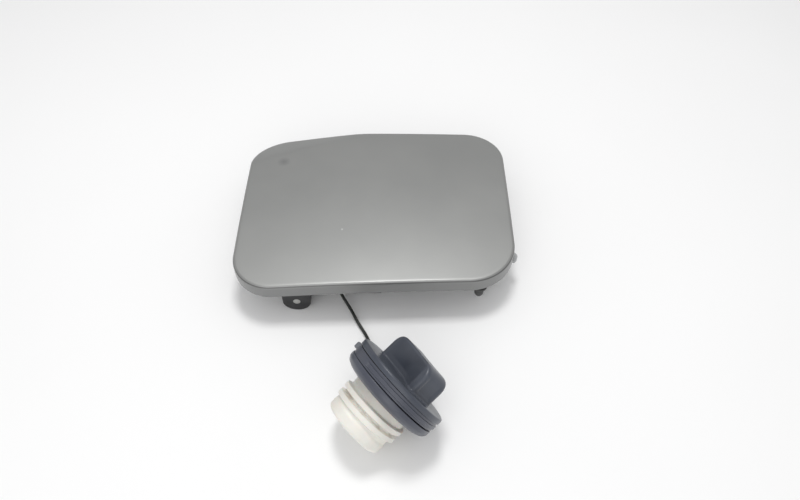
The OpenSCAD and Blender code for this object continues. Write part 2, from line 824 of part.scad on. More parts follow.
seat_r = 7.4;
seat_lip = 0.6;
seat_wall = 1.6;
plate_low = -plug_end + 1.1;
plate_t = 2;
seat_top = plate_low + plate_t + seat_lip;
retainer_low = -27.5;
retainer_t = 1.5;
module valve_seat() {
    lip_t = 1;
    color("#cfccc2")
    laid() rotate_extrude($fn = 72) {
        translate([seat_r, plate_low]) square([bore_r - seat_r, plate_t]);
        translate([seat_r, plate_low]) square([lip_t, plate_t + seat_lip]);
        translate([bore_r - seat_wall, plate_low]) square([seat_wall, retainer_low + retainer_t - plate_low]);
    }
}

stem_r = 1.4;
stem_gap = 0.5;
seal_t = 0.6;
module pressure_seal() {
    seal_r = 8.5;
    color("#1a1b1c")
    laid() translate([0, 0, seat_top]) difference() {
        cylinder(r = seal_r, h = seal_t, $fn = 64);
        translate([0, 0, -1]) cylinder(r = stem_r + stem_gap, h = seal_t + 2, $fn = 32);
    }
}

valve_r = 9;
valve_t = 1.5;
valve_low = seat_top + seal_t;
valve_top = valve_low + valve_t;
module pressure_valve() {
    guide_in = 3.4;
    guide_t = 1.6;
    guide_h = 1.4;
    color("#caa64a")
    laid() rotate_extrude($fn = 64) {
        translate([stem_r + stem_gap, valve_low]) square([valve_r - stem_r - stem_gap, valve_t]);
        translate([guide_in, valve_low]) square([guide_t, valve_t + guide_h]);
    }
}

module pressure_spring() {
    coil_r = 6.8;
    wire = 0.9;
    turns = 6;
    color("#a9abad")
    laid() coil(coil_r, wire, valve_top, retainer_low, turns, 14);
}

stem_out = 2.2;
collar_low = valve_top + 3.3;
module vacuum_valve() {
    head_r = 3;
    head_h = 1.2;
    collar_r = 2.7;
    collar_t = 1;
    color("#b7b9bb")
    laid() rotate_extrude($fn = 48) {
        translate([0, seat_top - head_h]) square([head_r, head_h]);
        translate([0, seat_top - head_h]) square([stem_r, collar_low + stem_out - seat_top]);
        translate([0, collar_low]) square([collar_r, collar_t]);
    }
}

module vacuum_spring() {
    coil_r = 2.2;
    wire = 0.5;
    turns = 4;
    color("#a9abad")
    laid() coil(coil_r, wire, valve_top, collar_low, turns, 10);
}

module spring_retainer() {
    hole_r = 1.8;
    hole_at = 11;
    color("#cfccc2")
    laid() translate([0, 0, retainer_low]) difference() {
        cylinder(r = bore_r - seat_wall, h = retainer_t, $fn = 72);
        translate([0, 0, -1]) cylinder(r = vent_r, h = retainer_t + 2, $fn = 48);
        for (a = [0:60:300])
            rotate(a) translate([hole_at, 0, -1]) cylinder(r = hole_r, h = retainer_t + 2, $fn = 32);
    }
}

// Tether between the bracket and the ring of the cap

module tether_anchor() {
    color("#222325")
    translate([anchor_x, anchor_y, 0]) {
        translate([0, 0, 0.3]) cylinder(d = anchor_d, h = bracket_t, $fn = 48);
        translate([0, 0, bracket_t]) cylinder(d = 2 * anchor_d, h = 1.2, $fn = 48);
        translate([0, 0, bracket_t]) cylinder(d = anchor_d + 1, h = anchor_h - bracket_t, $fn = 48);
    }
}

// End of the tether in the side of the ring's lug
ring_lug_r = ring_r + lug_out - 0.8;
ring_lug_end = [
    ring_lug_r * sin(lug_angle),
    ring_lug_r * cos(lug_angle) * cos(ring_askew),
    ring_mid - ring_lug_r * cos(lug_angle) * sin(ring_askew)
];
function from_cap(p) =
    let (
        b = 90 - cap_tilt,
        x = cos(b) * p.x + sin(b) * p.z,
        z = cos(b) * p.z - sin(b) * p.x
    )
    [cap_x + x * cos(cap_turn) - p.y * sin(cap_turn), cap_y + x * sin(cap_turn) + p.y * cos(cap_turn), cap_z + z];

tether_route = [
    [anchor_x + 2, anchor_y, 5],
    [23, 19, 5.2],
    [20, 4, 5],
    [5, -10, 5.4],
    [-8, -24, 8.4],
    [-9.4, -38, 9.6],
    [-5.4, -47.2, 8],
    [0.6, -55.9, 4],
    [6.3, -66.2, 1.9],
    [13, -78.3, 1.7],
    [19, -96, 8],
    from_cap(ring_lug_end)
];
module tether_cord() {
    color("#26282b") sweep(curve(tether_route, 6), tether_d / 2, 8);
}

door_outer_panel();
door_inner_panel();
hinge_arm();
arm_screws();
arm_nuts();
hinge_pin();
pin_clip();
hinge_bracket();
front_bush();
rear_bush();
spacer_sleeve();
closing_spring();
front_bumper();
rear_bumper();
latch_striker();
striker_rivets();
tether_anchor();
tether_cord();
tether_ring();
cap_cover();
cap_skirt();
ratchet_ring();
threaded_plug();
neck_seal();
valve_seat();
pressure_valve();
pressure_seal();
pressure_spring();
vacuum_valve();
vacuum_spring();
spring_retainer();
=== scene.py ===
"""Looks of a car fuel door that lies face up on its hinge, with its tethered filler cap.

Lengths in the tables and functions below are millimetres in the frame of the CAD model.
"""
import json
import math

import bpy
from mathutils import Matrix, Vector


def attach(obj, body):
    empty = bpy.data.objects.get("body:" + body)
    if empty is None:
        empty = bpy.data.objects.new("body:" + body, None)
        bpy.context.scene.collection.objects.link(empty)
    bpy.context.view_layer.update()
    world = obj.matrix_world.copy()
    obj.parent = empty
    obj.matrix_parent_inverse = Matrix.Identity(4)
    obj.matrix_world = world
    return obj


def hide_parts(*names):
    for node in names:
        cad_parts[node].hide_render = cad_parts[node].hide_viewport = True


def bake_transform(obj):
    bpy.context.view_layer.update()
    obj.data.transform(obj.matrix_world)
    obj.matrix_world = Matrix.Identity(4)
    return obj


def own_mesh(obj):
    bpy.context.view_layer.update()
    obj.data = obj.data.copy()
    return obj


MM = 0.001

# Camera: lens in mm on a 36 mm sensor, place in metres, pitch above straight down in degrees
LENS = 31.5
CAMERA = (0.0354, -0.3357, 0.4058)
PITCH = 39.6

# Door: outline from the front hinge corner, skin, and the crease at the rear shoulder; angles in degrees
DOOR_X = 18.0
DOOR_W = 194.0
DOOR_DEPTH = 150.0
REAR_Y = 91.5
DOOR_TOP = 38.5
FRONT_SKEW = 2.2
REAR_FALL = 5.1
REAR_BREAK = 79.0
CORNER_R = (28.0, 34.0, 29.0, 150.0, 30.0)
CROWN_X = 2.0
CROWN_Y = 2.5
SKIN_T = 0.8
SKIRT_H = 11.0
EDGE_R = 2.2
HEM_R = 1.0
HEM_W = 4.2
CREASE_Y = 56.0
CREASE_X = 14.0
CREASE_ANGLE = 14.0
CREASE_SOFT = 4.0

# Marks on the door, as on the real one: place and radius
SPECK = (-5.1, -12.6, 38.3)
SPECK_R = 0.8
SMUDGE = (-53.2, 57.1, 36.5)
SMUDGE_R = 5.5

# Cap, built about its own axis with the top of its disc at zero
COVER_R = 33.0
COVER_T = 3.6
HUB_R = 27.4
HUB_IN = 24.0
HUB_LOW = -13.4

# Handle: a bar with a finger hollow in each side, wider again towards its top
HANDLE_L = 46.5
HANDLE_H = 17.8
HANDLE_T = 18.6
WAIST_T = 8.6
HOLLOW_L = 36.0
HANDLE_TURN = -28.0
HANDLE_END_R = 7.5
HANDLE_SIDE_R = 2.6
HANDLE_TOP_R = 1.7
HANDLE_FOOT_R = 1.3
LIP_LOW = 4.0
LIP_HIGH = 16.0
LIP_SHARE = 0.4
END_DENT = 0.55

# Ring of the tether, askew in the groove between disc and skirt
RING_R = 32.4
RING_H = 5.1
RING_SLACK = 0.7
SIDE_GAP = 0.3
GROOVE_H = RING_H + 2 * SIDE_GAP + RING_SLACK
RING_ASKEW = 0.9 * math.degrees(math.asin(RING_SLACK / 2 / RING_R))
RING_MID = -COVER_T - GROOVE_H / 2
LUG_OUT = 3.4
LUG_ANGLE = 35.0
LUG_W = 5.0
LUG_H = 3.4
TAB_ANGLE = 15.0
TAB_W = 4.8
TAB_OUT = 2.9
TAB_H = 4.2
BAND_START = 164.0
BAND_OUT = 0.75
BAND_LOW = -1.4
BAND_HIGH = 1.1

# Skirt of the cap and the seat of its gasket
SKIRT_R = 32.8
SKIRT_EDGE = -13.0
SKIRT_FOOT_R = 31.5
SKIRT_FOOT = -15.0
SKIRT_BOTTOM = -16.6
SKIRT_LIP_R = 28.8
GASKET_R = 26.8
GASKET_T = 1.0

# Plug, its closed head and its thread
PLUG_R = 19.5
PLUG_WALL = 3.0
PLUG_END = 42.6
PLUG_END_R = 20.1
PLUG_END_L = 7.0
PLUG_ROUND = 2.4
HEAD_TOP = -12.4
HEAD_T = 2.2
VENT_R = 4.0
THREAD_H = 2.9
THREAD_PITCH = 5.7
THREAD_TURNS = 2.2
THREAD_LOW = -34.3
THREAD_START = -26.6
THREAD_ROOT = 2.4
THREAD_CREST = 1.4
THREAD_FIRST = 0.7
COLLAR_Z = -22.6
COLLAR_OUT = 0.3
DIRT_ANGLE = 200.0

# Valve springs: radius, wire and turns
PRESSURE_COIL = (6.8, 0.9, 6)
VACUUM_COIL = (2.2, 0.5, 4)

# Place of the cap, which rests on its skirt and the end of its plug
CAP_X = 37.9
CAP_Y = -128.7
CAP_TURN = 37.2
REST_X = SKIRT_R - PLUG_END_R + PLUG_ROUND
REST_Y = PLUG_END - PLUG_ROUND + SKIRT_EDGE
CAP_TILT = math.degrees(math.atan2(REST_X, REST_Y) - math.asin(PLUG_ROUND / math.hypot(REST_X, REST_Y)))
CAP_Z = (SKIRT_R * math.cos(math.radians(CAP_TILT))
         - SKIRT_EDGE * math.sin(math.radians(CAP_TILT)))

# Tether: given points, before the one in the ring's lug
TETHER_D = 2.2
TETHER_STEPS = 6
TETHER = (
    (15, 30, 5),
    (23, 19, 5.2),
    (20, 4, 5),
    (5, -10, 5.4),
    (-8, -24, 8.4),
    (-9.4, -38, 9.6),
    (-5.4, -47.2, 8),
    (0.6, -55.9, 4),
    (6.3, -66.2, 1.9),
    (13, -78.3, 1.7),
    (19, -96, 8),
)


def from_cap(p):
    """A point of the cap's own frame in the frame of the row, in mm."""
    b = math.radians(90 - CAP_TILT)
    t = math.radians(CAP_TURN)
    x = math.cos(b) * p[0] + math.sin(b) * p[2]
    z = math.cos(b) * p[2] - math.sin(b) * p[0]
    return (CAP_X + x * math.cos(t) - p[1] * math.sin(t),
            CAP_Y + x * math.sin(t) + p[1] * math.cos(t),
            CAP_Z + z)


def smooth(t):
    """A soft step from 0 at 0 to 1 at 1."""
    t = min(1.0, max(0.0, t))
    return t * t * (3 - 2 * t)


# Camera, floor and light

def make_camera():
    data = bpy.data.cameras.new("camera")
    data.lens = LENS
    data.sensor_width = 36.0
    data.clip_start = 0.01
    camera = bpy.data.objects.new("camera", data)
    camera.location = CAMERA
    camera.rotation_euler = (math.radians(PITCH), 0.0, 0.0)
    bpy.context.scene.collection.objects.link(camera)
    bpy.context.scene.camera = camera


def make_floor():
    """Plain pale floor."""
    half = 3.0
    mesh = bpy.data.meshes.new("floor")
    square = [(-half, -half, 0), (half, -half, 0), (half, half, 0), (-half, half, 0)]
    mesh.from_pydata(square, [], [(0, 1, 2, 3)])
    floor = bpy.data.objects.new("floor", mesh)
    bpy.context.scene.collection.objects.link(floor)
    mat, tree, shader = material("floor", Roughness=0.6, Specular_IOR_Level=0.1)
    colour_noise(tree, shader, (0.93, 0.93, 0.925), (0.95, 0.95, 0.945), 3.0)
    floor.data.materials.append(mat)


def make_light():
    """Pale studio: a world that is dimmest above the horizon, a small softbox and a wide front lamp."""
    world = bpy.data.worlds.new("studio")
    bpy.context.scene.world = world
    world.use_nodes = True
    tree = world.node_tree
    back = tree.nodes["Background"]
    coords = tree.nodes.new("ShaderNodeTexCoord")
    split = tree.nodes.new("ShaderNodeSeparateXYZ")
    ramp = tree.nodes.new("ShaderNodeValToRGB")
    tree.links.new(coords.outputs["Generated"], split.inputs[0])
    tree.links.new(split.outputs["Z"], ramp.inputs[0])
    stops = ((0.0, 0.70), (0.30, 0.72), (0.58, 0.47), (0.78, 0.60), (0.95, 0.86))
    elements = ramp.color_ramp.elements
    elements[0].position, elements[1].position = stops[0][0], stops[-1][0]
    for place, level in stops[1:-1]:
        elements.new(place)
    for element, (place, level) in zip(elements, stops):
        element.color = (level, level, level * 1.01, 1)
    tree.links.new(ramp.outputs[0], back.inputs["Color"])
    back.inputs["Strength"].default_value = 0.92
    panel("softbox", (0.03, 0.13, 1.0), (0.03, 0.0, 0.0), 0.22, 3.8)
    panel("front_fill", (-0.20, -1.0, 0.60), (0.03, -0.10, 0.0), 0.9, 3.3)


def panel(name, place, target, size, watts):
    """Square lamp at a place in metres, aimed at a target."""
    data = bpy.data.lights.new(name, "AREA")
    data.shape = "SQUARE"
    data.size = size
    data.energy = watts
    lamp = bpy.data.objects.new(name, data)
    lamp.location = place
    lamp.rotation_euler = (Vector(target) - Vector(place)).to_track_quat("-Z", "Y").to_euler()
    bpy.context.scene.collection.objects.link(lamp)


# Materials

def material(name, **sockets):
    """A Principled material whose plain numbers sit on the shader's own sockets."""
    mat = bpy.data.materials.new(name)
    mat.use_nodes = True
    shader = mat.node_tree.nodes["Principled BSDF"]
    for key, value in sockets.items():
        shader.inputs[key.replace("_", " ")].default_value = value
    return mat, mat.node_tree, shader


def noise(tree, scale, detail=3.0, stretch=None):
    """Noise in object space; scale is in cells per metre."""
    coords = tree.nodes.new("ShaderNodeTexCoord")
    texture = tree.nodes.new("ShaderNodeTexNoise")
    texture.inputs["Scale"].default_value = scale
    texture.inputs["Detail"].default_value = detail
    source = coords.outputs["Object"]
    if stretch:
        mapping = tree.nodes.new("ShaderNodeMapping")
        mapping.inputs["Scale"].default_value = stretch
        tree.links.new(source, mapping.inputs["Vector"])
        source = mapping.outputs["Vector"]
    tree.links.new(source, texture.inputs["Vector"])
    return texture.outputs["Fac"]


def ramp_between(tree, factor, low, high, start=0.3, end=0.7):
    """Colour that runs from low to high as the factor runs from start to end."""
    ramp = tree.nodes.new("ShaderNodeValToRGB")
    ramp.color_ramp.elements[0].position = start
    ramp.color_ramp.elements[1].position = end
    ramp.color_ramp.elements[0].color = (*low, 1)
    ramp.color_ramp.elements[1].color = (*high, 1)
    tree.links.new(factor, ramp.inputs[0])
    return ramp.outputs[0]


def colour_noise(tree, shader, low, high, scale, detail=3.0):
    colour = ramp_between(tree, noise(tree, scale, detail), low, high)
    tree.links.new(colour, shader.inputs["Base Color"])
    return colour


def rough_noise(tree, shader, low, high, scale):
    span = tree.nodes.new("ShaderNodeMapRange")
    span.inputs["To Min"].default_value = low
    span.inputs["To Max"].default_value = high
    tree.links.new(noise(tree, scale), span.inputs["Value"])
    tree.links.new(span.outputs[0], shader.inputs["Roughness"])


def bump(tree, shader, height, depth_mm, strength=1.0, edge_mm=None):
    """Bump from a height factor, over edges softened by a small radius."""
    node = tree.nodes.new("ShaderNodeBump")
    node.inputs["Strength"].default_value = strength
    node.inputs["Distance"].default_value = depth_mm * MM
    tree.links.new(height, node.inputs["Height"])
    if edge_mm:
        bevel = tree.nodes.new("ShaderNodeBevel")
        bevel.inputs["Radius"].default_value = edge_mm * MM
        tree.links.new(bevel.outputs[0], node.inputs["Normal"])
    tree.links.new(node.outputs[0], shader.inputs["Normal"])


def spot(tree, place, radius):
    """1 at a place on the object, in mm, falling to 0 at a radius."""
    geometry = tree.nodes.new("ShaderNodeTexCoord")
    distance = tree.nodes.new("ShaderNodeVectorMath")
    distance.operation = "DISTANCE"
    distance.inputs[1].default_value = [c * MM for c in place]
    tree.links.new(geometry.outputs["Object"], distance.inputs[0])
    fall = tree.nodes.new("ShaderNodeMapRange")
    fall.inputs["From Min"].default_value = 0.0
    fall.inputs["From Max"].default_value = radius * MM
    fall.inputs["To Min"].default_value = 1.0
    fall.inputs["To Max"].default_value = 0.0
    tree.links.new(distance.outputs["Value"], fall.inputs["Value"])
    return fall.outputs[0]


def over(tree, base, factor, colour):
    """A colour laid over another by a factor."""
    mix = tree.nodes.new("ShaderNodeMix")
    mix.data_type = "RGBA"
    tree.links.new(factor, mix.inputs["Factor"])
    tree.links.new(base, mix.inputs["A"])
    mix.inputs["B"].default_value = (*colour, 1)
    return mix.outputs["Result"]


def joined(tree, how, a, b):
    """Two colours added or multiplied."""
    mix = tree.nodes.new("ShaderNodeMix")
    mix.data_type = "RGBA"
    mix.blend_type = how
    mix.inputs["Factor"].default_value = 1.0
    tree.links.new(a, mix.inputs["A"])
    tree.links.new(b, mix.inputs["B"])
    return mix.outputs["Result"]


def body_paint():
    """Satin metallic grey with fine flake, a faint cloudiness, a smudge and a paint speck."""
    mat, tree, shader = material("body_paint", Metallic=0.78, Coat_Weight=0.35, Coat_Roughness=0.22)
    base = ramp_between(tree, noise(tree, 22.0, 4.0), (0.315, 0.319, 0.311), (0.337, 0.340, 0.331))
    flake = ramp_between(tree, noise(tree, 9000.0, 1.0), (0, 0, 0), (0.1, 0.1, 0.1), 0.62, 0.8)
    colour = over(tree, joined(tree, "ADD", base, flake), spot(tree, SPECK, SPECK_R), (0.9, 0.9, 0.9))
    colour = over(tree, colour, spot(tree, SMUDGE, SMUDGE_R), (0.245, 0.247, 0.245))
    # painted shade on the skirt and a dark painted line under the rolled edge
    colour = painted_skirt_shade(tree, colour)
    tree.links.new(colour, shader.inputs["Base Color"])
    rough_noise(tree, shader, 0.43, 0.49, 60.0)
    bump(tree, shader, noise(tree, 700.0, 1.0), 0.02, 0.12)
    return mat


def painted_skirt_shade(tree, colour):
    """Painted shade on the skirt: a darker skirt, and a dark painted line just under the rolled edge where
    shade and a dark reflection fall.
    """
    sides = tree.nodes.new("ShaderNodeAttribute")
    sides.attribute_name = "sides"
    skirt_shade = sides.outputs["Fac"]
    # painted shade: the skirt darker than the face of the door
    colour = over(tree, colour, skirt_shade, (0.235, 0.238, 0.236))
    # a dark line of painted shade just under the rolled edge
    line_start = ramp_between(tree, skirt_shade, (0, 0, 0), (0.85, 0.85, 0.85), 0.03, 0.16)
    line_end = ramp_between(tree, skirt_shade, (1, 1, 1), (0, 0, 0), 0.30, 0.62)
    return over(tree, colour, joined(tree, "MULTIPLY", line_start, line_end), (0.10, 0.10, 0.10))


def inner_paint():
    mat, tree, shader = material("inner_paint", Metallic=0.45)
    colour_noise(tree, shader, (0.17, 0.175, 0.18), (0.27, 0.272, 0.275), 60.0, 6.0)
    rough_noise(tree, shader, 0.4, 0.6, 90.0)
    bump(tree, shader, noise(tree, 500.0, 2.0), 0.05, 0.3, 0.3)
    return mat


def black_steel():
    mat, tree, shader = material("black_steel", Specular_IOR_Level=0.5)
    colour_noise(tree, shader, (0.010, 0.010, 0.011), (0.028, 0.028, 0.030), 120.0, 5.0)
    rough_noise(tree, shader, 0.32, 0.5, 200.0)
    bump(tree, shader, noise(tree, 900.0, 3.0), 0.04, 0.35, 0.4)
    return mat


def plated(name, low, high, rough, scale=150.0):
    """Plated or bare metal with faint cloudiness and drawing marks."""
    mat, tree, shader = material(name, Metallic=1.0)
    colour_noise(tree, shader, low, high, scale, 5.0)
    rough_noise(tree, shader, rough - 0.07, rough + 0.1, 2 * scale)
    bump(tree, shader, noise(tree, 1500.0, 2.0, (1, 1, 0.15)), 0.01, 0.3, 0.15)
    return mat


def zinc():
    return plated("zinc", (0.42, 0.42, 0.405), (0.58, 0.58, 0.56), 0.33)


def spring_steel():
    return plated("spring_steel", (0.30, 0.30, 0.30), (0.48, 0.48, 0.47), 0.3)


def aluminium():
    return plated("aluminium", (0.55, 0.56, 0.57), (0.74, 0.75, 0.76), 0.36)


def brass():
    return plated("brass", (0.55, 0.38, 0.12), (0.75, 0.55, 0.22), 0.28)


def rubber():
    mat, tree, shader = material("rubber", Specular_IOR_Level=0.35)
    colour_noise(tree, shader, (0.066, 0.067, 0.065), (0.118, 0.119, 0.115), 260.0, 5.0)
    rough_noise(tree, shader, 0.62, 0.8, 300.0)
    bump(tree, shader, noise(tree, 2500.0, 3.0), 0.03, 0.4, 0.3)
    return mat


def moulded(name, low, high, rough, grain_mm=0.02, edge_mm=0.3):
    """Moulded plastic with a fine grain and slightly uneven gloss."""
    mat, tree, shader = material(name, Specular_IOR_Level=0.5)
    colour_noise(tree, shader, low, high, 90.0, 5.0)
    rough_noise(tree, shader, rough - 0.06, rough + 0.06, 160.0)
    bump(tree, shader, noise(tree, 1800.0, 3.0), grain_mm, 0.3, edge_mm)
    return mat


def white_nylon():
    return moulded("white_nylon", (0.70, 0.69, 0.64), (0.80, 0.79, 0.75), 0.42)


def grey_plastic():
    return moulded("grey_plastic", (0.36, 0.37, 0.37), (0.46, 0.47, 0.47), 0.45)


def black_plastic():
    return moulded("black_plastic", (0.014, 0.014, 0.015), (0.03, 0.03, 0.032), 0.45)


def tether_plastic():
    return moulded("tether_plastic", (0.010, 0.011, 0.010), (0.030, 0.032, 0.028), 0.42, 0.03, None)


def slate(name, low, high, edge_highlight):
    """Slate plastic with a painted highlight: paler on its sharp edges."""
    mat, tree, shader = material(name, Specular_IOR_Level=0.5, Coat_Weight=0.15, Coat_Roughness=0.3)
    base = ramp_between(tree, noise(tree, 70.0, 5.0), low, high)
    geometry = tree.nodes.new("ShaderNodeNewGeometry")
    # painted highlight on sharp edges, found by pointiness
    edge = ramp_between(tree, geometry.outputs["Pointiness"], (0, 0, 0), (1, 1, 1), 0.52, 0.60)
    colour = over(tree, base, edge, edge_highlight)
    tree.links.new(colour, shader.inputs["Base Color"])
    rough_noise(tree, shader, 0.30, 0.44, 120.0)
    bump(tree, shader, noise(tree, 1600.0, 3.0), 0.02, 0.3)
    return mat


def cap_plastic():
    # the last colour is the painted highlight on sharp edges
    return slate("cap_plastic", (0.044, 0.051, 0.068), (0.060, 0.069, 0.090), (0.19, 0.20, 0.225))


def rim_plastic():
    """The ring and the skirt: a paler copy of the cover's plastic, as painted light on these faces."""
    return slate("rim_plastic", (0.050, 0.055, 0.074), (0.066, 0.072, 0.094), (0.165, 0.174, 0.192))


def plug_nylon():
    """Warm white nylon with brown dirt in the roots of the thread."""
    mat, tree, shader = material("plug_nylon", Specular_IOR_Level=0.45, Subsurface_Weight=0.12,
                                 Subsurface_Scale=0.003)
    base = ramp_between(tree, noise(tree, 60.0, 4.0), (0.71, 0.69, 0.63), (0.82, 0.80, 0.745))
    groove = tree.nodes.new("ShaderNodeAttribute")
    groove.attribute_name = "groove"
    patches = ramp_between(tree, noise(tree, 170.0, 6.0), (0, 0, 0), (0.6, 0.6, 0.6), 0.42, 0.66)
    dirt = joined(tree, "MULTIPLY", groove.outputs["Color"], patches)
    colour = over(tree, base, dirt, (0.40, 0.335, 0.26))
    tree.links.new(colour, shader.inputs["Base Color"])
    rough_noise(tree, shader, 0.36, 0.5, 140.0)
    bump(tree, shader, noise(tree, 1400.0, 3.0), 0.02, 0.3)
    return mat


# Meshes

def mesh_piece(name, verts, faces, mat, body, nodes, flat=False):
    """A piece from points in mm, on a body, in place of CAD nodes."""
    mesh = bpy.data.meshes.new(name)
    mesh.from_pydata([[c * MM for c in p] for p in verts], [], faces)
    mesh.validate()
    mesh.update()
    mesh.materials.append(mat)
    if not flat:
        mesh.shade_smooth()
    piece = bpy.data.objects.new(name, mesh)
    bpy.context.scene.collection.objects.link(piece)
    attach(piece, body)
    if nodes:
        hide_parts(*nodes)
    return piece


def skin(rings, closed=False):
    """Points and faces through rings of points, with a fan at each end or closed on itself."""
    n = len(rings[0])
    count = len(rings)
    verts = [tuple(p) for ring in rings for p in ring]
    faces = []
    for i in range(count if closed else count - 1):
        for j in range(n):
            a, b = i * n + j, i * n + (j + 1) % n
            up = n * ((i + 1) % count) - n * i
            faces.append((a, b, b + up, a + up))
    if not closed:
        for i, flip in ((0, True), (count - 1, False)):
            middle = [sum(p[k] for p in rings[i]) / n for k in range(3)]
            verts.append(tuple(middle))
            for j in range(n):
                a, b = i * n + j, i * n + (j + 1) % n
                faces.append((b, a, len(verts) - 1) if flip else (a, b, len(verts) - 1))
    return verts, faces


def arc(cx, cz, r, start, end, steps=8):
    """Points of an arc in a profile, with its angles in degrees."""
    out = []
    for i in range(steps + 1):
        a = math.radians(start + (end - start) * i / steps)
        out.append((cx + r * math.cos(a), cz + r * math.sin(a)))
    return out


def lathe(profile, steps=192, lift=None):
    """A closed ring or a solid of revolution from a closed profile of (radius, height)."""
    rings = []
    for i in range(steps):
        a = 2 * math.pi * i / steps
        ring = []
        for r, z in profile:
            out = r + (lift(a, r, z) if lift else 0.0)
            ring.append((out * math.cos(a), out * math.sin(a), z))
        rings.append(ring)
    return skin(rings, closed=True)


# Door

CORNER_STEPS = (28, 28, 28, 8, 28)
SIDE_STEPS = 26


def corners():
    """Sharp corners of the door's outline, from the front hinge corner anticlockwise."""
    left, right = DOOR_X - DOOR_W / 2, DOOR_X + DOOR_W / 2
    front = REAR_Y - DOOR_DEPTH
    skew = math.tan(math.radians(FRONT_SKEW)) * DOOR_W / 2
    fall = REAR_BREAK * math.tan(math.radians(REAR_FALL))
    return [Vector(p) for p in ((left, front - skew), (right, front + skew), (right, REAR_Y),
                                (left + REAR_BREAK, REAR_Y), (left, REAR_Y - fall))]


def outline(inset):
    """Outline of the door at an inset, anticlockwise."""
    points = corners()
    edge = []
    for i in range(5):
        side = points[(i + 1) % 5] - points[i]
        edge.append(math.degrees(math.atan2(side.y, side.x)) - 90)
    arcs = []
    for i in range(5):
        a = (points[i - 1] - points[i]).normalized()
        b = (points[(i + 1) % 5] - points[i]).normalized()
        half = math.acos(a.dot(b)) / 2
        mid = points[i] + (a + b).normalized() * CORNER_R[i] / math.sin(half)
        start = edge[i - 1]
        by = (edge[i] - start + 720) % 360
        r = CORNER_R[i] - inset
        arcs.append([mid + Vector((math.cos(t), math.sin(t))) * r for t in
                     [math.radians(start + by * k / CORNER_STEPS[i]) for k in range(CORNER_STEPS[i] + 1)]])
    ring = []
    for i in range(5):
        end, after = arcs[i][-1], arcs[(i + 1) % 5][0]
        ring += arcs[i]
        ring += [end.lerp(after, k / SIDE_STEPS) for k in range(1, SIDE_STEPS)]
    return ring


def face_z(p):
    """Height of the door's outer face."""
    mid_y = REAR_Y - DOOR_DEPTH / 2
    left = DOOR_X - DOOR_W / 2
    along = Vector((CREASE_X - left, REAR_Y - CREASE_Y)).normalized()
    past = max(0.0, (p[0] - left) * -along.y + (p[1] - CREASE_Y) * along.x)
    fall = math.tan(math.radians(CREASE_ANGLE)) * past * past / (past + CREASE_SOFT)
    return (DOOR_TOP - CROWN_X * ((p[0] - DOOR_X) / (DOOR_W / 2)) ** 2
            - CROWN_Y * ((p[1] - mid_y) / (DOOR_DEPTH / 2)) ** 2 - fall)


def make_door(mat):
    """Outer skin with its crown, crease, rolled edge, skirt and hem."""
    mid = Vector((DOOR_X, REAR_Y - DOOR_DEPTH / 2))

    def crown(share, depth):
        ring = []
        for p in outline(EDGE_R):
            q = mid + share * (p - mid)
            ring.append((q.x, q.y, face_z(q) - depth))
        return ring

    def face(inset, depth):
        return [(p.x, p.y, face_z(p) - depth) for p in outline(inset)]

    shares = [0.03 + 0.97 * k / 60 for k in range(60)]
    rings = [crown(s, 0.0) for s in shares]
    for k in range(11):
        a = math.radians(9 * k)
        rings.append(face(EDGE_R * (1 - math.sin(a)), EDGE_R * (1 - math.cos(a))))
    for k in range(1, 16):
        rings.append(face(0.0, EDGE_R + (SKIRT_H - HEM_R - EDGE_R) * k / 16))
    for k in range(7):
        a = math.radians(15 * k)
        rings.append(face(HEM_R * (1 - math.cos(a)), SKIRT_H - HEM_R * (1 - math.sin(a))))
    rings.append(face(HEM_W - 0.3, SKIRT_H))
    rings.append(face(HEM_W, SKIRT_H - 0.3))
    rings.append(face(HEM_W, SKIRT_H - SKIN_T))
    rings.append(face(SKIN_T, SKIRT_H - SKIN_T))
    inner = EDGE_R - SKIN_T
    for k in range(5):
        a = math.radians(90 - 22.5 * k)
        rings.append(face(EDGE_R - inner * math.sin(a), EDGE_R - inner * math.cos(a)))
    rings += [crown(s, SKIN_T) for s in reversed(shares[::6])]
    verts, faces = skin(rings)
    piece = mesh_piece("door_skin", verts, [f[::-1] for f in faces], mat, "door",
                       ["door_outer_panel"])
    # share of painted shade on the skirt, read by the paint
    layer = piece.data.attributes.new("sides", "FLOAT", "POINT")
    layer.data.foreach_set("value", [skirt_shade_share(p) for p in verts])


def skirt_shade_share(p):
    """Share of the painted shade on the skirt: 0 on the face and the rolled edge, 1 from just below the
    edge.
    """
    return min(1.0, max(0.0, (face_z(p) - EDGE_R * 0.2 - p[2]) / (EDGE_R * 0.9)))


# Cap

FLANK_STEPS = 44
END_STEPS = 12


def rounding(r, past):
    """How far a rounded edge has drawn back at a depth past the start of its radius."""
    return r - math.sqrt(max(0.0, r ** 2 - max(0.0, past) ** 2))


def handle_ring(z):
    """Outline of the handle at a height, with its finger hollows, foot fillet and rounded top."""
    foot = HANDLE_FOOT_R
    out = rounding(foot, foot - max(z, 0.0))
    half_l = HANDLE_L / 2 + out - rounding(HANDLE_END_R, z - HANDLE_H + HANDLE_END_R)
    half_t = HANDLE_T / 2 + out - rounding(HANDLE_TOP_R, z - HANDLE_H + HANDLE_TOP_R)
    lip = min(1.0, max(0.0, (z - LIP_LOW) / (LIP_HIGH - LIP_LOW)))
    depth = (HANDLE_T - WAIST_T) / 2 * (1 - (1 - LIP_SHARE) * lip)
    r = HANDLE_SIDE_R + out
    dent = END_DENT * smooth((z - 2.0) / 1.6) * smooth((HANDLE_H - 4.6 - z) / 2.0)
    quarter = handle_quarter(half_l, half_t, depth, r, dent)
    ring = [(x, y) for x, y in quarter]
    ring.append((0.0, half_l - dent))
    ring += [(-x, y) for x, y in reversed(quarter)]
    ring += [(-x, -y) for x, y in quarter[1:]]
    ring.append((0.0, -half_l + dent))
    ring += [(x, -y) for x, y in reversed(quarter[1:])]
    return [(x, y, z) for x, y in ring]


